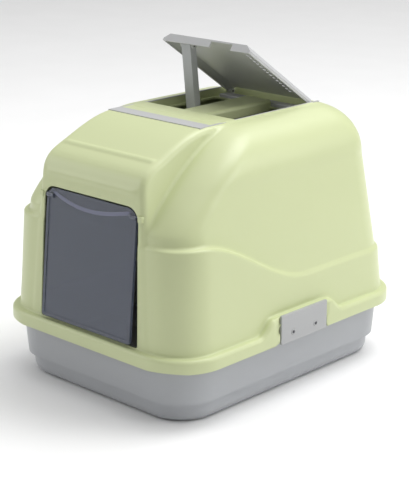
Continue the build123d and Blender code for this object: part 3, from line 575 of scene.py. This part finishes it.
for node, piece in frame["nodes"].items():
    for holder in piece.material_slots:
        holder.material = FINISHES[SLOT_OF[node]]

# Hood
hood_verts, hood_faces = hood_shell()
hood_skin = mesh_piece("hood_skin", hood_verts, hood_faces, 55.0)
dress(hood_skin, "hood_green")
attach(hood_skin, "hood")
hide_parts("hood")

# Bearings that hold the flap's pins beside the doorway, in metres from the middle and the pin
BEARING_NEAR, BEARING_FAR = 0.0970, 0.1052
BEARING_FRONT, BEARING_BACK = 0.0055, 0.0062
BEARING_HALF_Z = 0.0045
BEARING_EDGE = 0.0009
for side, name in ((-1, "left"), (1, "right")):
    pin_low, pin_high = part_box("flap_pin_" + name)
    pin = (pin_low + pin_high) / 2
    ends = sorted((side * BEARING_NEAR, side * BEARING_FAR))
    low = (ends[0], pin.y - BEARING_FRONT, pin.z - BEARING_HALF_Z)
    high = (ends[1], pin.y + BEARING_BACK, pin.z + BEARING_HALF_Z)
    bearing = mesh_piece("flap_bearing_" + name, *rounded_block(low, high, BEARING_EDGE), 50.0)
    dress(bearing, "hood_green")
    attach(bearing, "hood")


def lathe(profile, centre, side, sides=36):
    """A ring turned about the X axis; the profile is (radius, distance out) points."""
    verts, faces = [], []
    for radius, out in profile:
        for k in range(sides):
            turn = 2 * math.pi * k / sides
            verts.append((side * out, centre[0] + radius * math.cos(turn),
                          centre[1] + radius * math.sin(turn)))
    for i in range(len(profile)):
        for k in range(sides):
            n = (k + 1) % sides
            j = (i + 1) % len(profile)
            quad = [i * sides + k, i * sides + n, j * sides + n, j * sides + k]
            faces.append(quad if side > 0 else quad[::-1])
    return verts, faces


# Clip studs: a rounded head with a sunk socket, and inside it a dark core that is painted shade;
# outlines as (radius, distance out), in metres
STUD_BORE, STUD_MOUTH, STUD_LIP = 0.0012, 0.0026, 0.0030
STUD_SINK = 0.0007
STUD_FOOT = 0.0004
STEM_GAP = 0.0001


def head_outline(radius, root, tip):
    stem = radius / 2 - STEM_GAP
    return [(STUD_BORE, root + STUD_FOOT), (stem, root + STUD_FOOT), (stem, tip - 0.0009),
            (radius, tip - 0.0010), (radius, tip - 0.0005), (radius - 0.0002, tip - 0.0002),
            (radius - 0.0006, tip), (STUD_LIP, tip), (STUD_MOUTH, tip - 0.0003),
            (STUD_MOUTH, tip - STUD_SINK), (STUD_BORE, tip - STUD_SINK)]


# Painted shade: a near-black core set into each stud's socket, standing in for the shade in the
# hollow
def stud_shade_core_outline(root, tip):
    return [(0.0001, root + 0.0005), (0.0011, root + 0.0005), (0.0011, tip - 0.0008),
            (0.0024, tip - 0.0006), (0.0018, tip - 0.0003), (0.0001, tip - 0.0002)]


for side, name in ((-1, "left"), (1, "right")):
    stud_low, stud_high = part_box("clip_studs_" + name)
    tip = max(abs(stud_low.x), abs(stud_high.x))
    root = min(abs(stud_low.x), abs(stud_high.x))
    radius = (stud_high.z - stud_low.z) / 2
    height = (stud_high.z + stud_low.z) / 2
    head, shade_core_line = head_outline(radius, root, tip), stud_shade_core_outline(root, tip)
    for index, y in enumerate((stud_low.y + radius, stud_high.y - radius)):
        stud = mesh_piece(f"stud_{name}_{index}", *lathe(head, (y, height), side), 40.0)
        # The dark pin_grey core in the socket is painted shade
        core = mesh_piece(f"stud_painted_shade_{name}_{index}", *lathe(shade_core_line, (y, height), side), 40.0)
        dress(stud, "clip_grey")
        dress(core, "pin_grey")
        for piece, slot in ((stud, "clip_grey"), (core, "pin_grey")):
            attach(piece, "clip_" + name)
            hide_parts("clip_studs_" + name)

# Flap: a waved bead moulded across it under its top edge
flap_pin_low, flap_pin_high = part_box("flap_pin_right")
PIVOT = (flap_pin_low + flap_pin_high) / 2
PIVOT.x = 0
FLAP_LEAN = 3.0
HANG = math.radians(SKIRT_LEAN + FLAP_LEAN)
DOWN = Vector((0, -math.sin(HANG), -math.cos(HANG)))
OUT = Vector((0, -math.cos(HANG), math.sin(HANG)))
ACROSS = Vector((1, 0, 0))
FLAP_FACE = 0.0012


def flap_point(x, drop):
    """A point on the flap's outer face, by distance across and distance below the pivot."""
    return PIVOT + ACROSS * x + DOWN * drop + OUT * FLAP_FACE


def flap_bead(name, line, width, height):
    path = []
    for k in range(len(line)):
        here = flap_point(*line[k])
        before = flap_point(*line[max(k - 1, 0)])
        after = flap_point(*line[min(k + 1, len(line) - 1)])
        along = (after - before).normalized()
        path.append((here, OUT, along.cross(OUT)))
    piece = mesh_piece(name, *bar_along(path, width, height), 50.0)
    dress(piece, "smoke_clear", SMOKE_EDGE)
    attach(piece, "flap")


WAVE_X = (-84, -62, -43, -24, -5, 13, 32, 49, 66, 80)
WAVE_DROP = (-8, -0.4, 5, 8.4, 9, 7.6, 5.4, 2.9, -0.5, -5)
WAVE_POINTS = 61
BEAD_WIDTH, BEAD_HEIGHT = 0.0056, 0.0006
wave = np.polyfit(WAVE_X, WAVE_DROP, 4)
wave_line = [(x * MM, float(np.polyval(wave, x)) * MM)
             for x in np.linspace(WAVE_X[0], WAVE_X[-1], WAVE_POINTS)]
flap_bead("flap_wave", wave_line, BEAD_WIDTH, BEAD_HEIGHT)

# Floor and light
FLOOR_HALF, FLOOR_DROP = 6, 0.0002
floor_verts = [(x * FLOOR_HALF, y * FLOOR_HALF, 0) for x, y in ((-1, -1), (1, -1), (1, 1), (-1, 1))]
floor = mesh_piece("studio_floor", floor_verts, [[0, 1, 2, 3]])
floor.location.z = -FLOOR_DROP
paper = plastic("studio_paper", (0.90, 0.90, 0.90), (0.7, 0.85), 200.0, 0.05)
floor.data.materials.append(paper)


def softbox(name, place, target, size, power):
    """A rectangular lamp; place, target and size in metres, power in watts."""
    data = bpy.data.lights.new(name, "AREA")
    data.shape = "RECTANGLE"
    data.size, data.size_y = size
    data.energy = power
    lamp = bpy.data.objects.new(name, data)
    bpy.context.scene.collection.objects.link(lamp)
    lamp.location = place
    lamp.rotation_euler = (Vector(target) - Vector(place)).to_track_quat("-Z", "Y").to_euler()


softbox("ceiling", (0.0, 2.0, 5.0), (0, 2.0, 0), (9.0, 9.0), 300.0)
softbox("top_light", (0.6, 0.9, 2.4), (0, 0, 0.25), (1.3, 1.3), 30.0)
softbox("front_fill", (-2.5, -1.9, 1.4), (0, 0, 0.2), (2.0, 1.6), 24.0)
softbox("right_fill", (2.4, 1.5, 1.3), (0, 0, 0.2), (1.6, 1.4), 24.0)

WORLD_STRENGTH = 0.28
world = bpy.data.worlds.new("studio_white")
world.use_nodes = True
world.node_tree.nodes["Background"].inputs["Color"].default_value = (1, 1, 1, 1)
world.node_tree.nodes["Background"].inputs["Strength"].default_value = WORLD_STRENGTH
bpy.context.scene.world = world
bpy.context.scene.view_settings.view_transform = "Standard"

# Camera: the place and direction found from the photo
CAMERA_PLACE = (1.4595, -1.5335, 0.8390)
CAMERA_BACK = (0.6580, -0.6927, 0.2952)
CAMERA_LENS, SENSOR_WIDTH = 108.56, 36.0
camera_data = bpy.data.cameras.new("camera")
camera_data.lens = CAMERA_LENS
camera_data.sensor_width = SENSOR_WIDTH
camera_data.sensor_fit = "AUTO"
camera = bpy.data.objects.new("camera", camera_data)
bpy.context.scene.collection.objects.link(camera)
camera.location = CAMERA_PLACE
camera.rotation_euler = Vector(CAMERA_BACK).to_track_quat("Z", "Y").to_euler()
bpy.context.scene.camera = camera
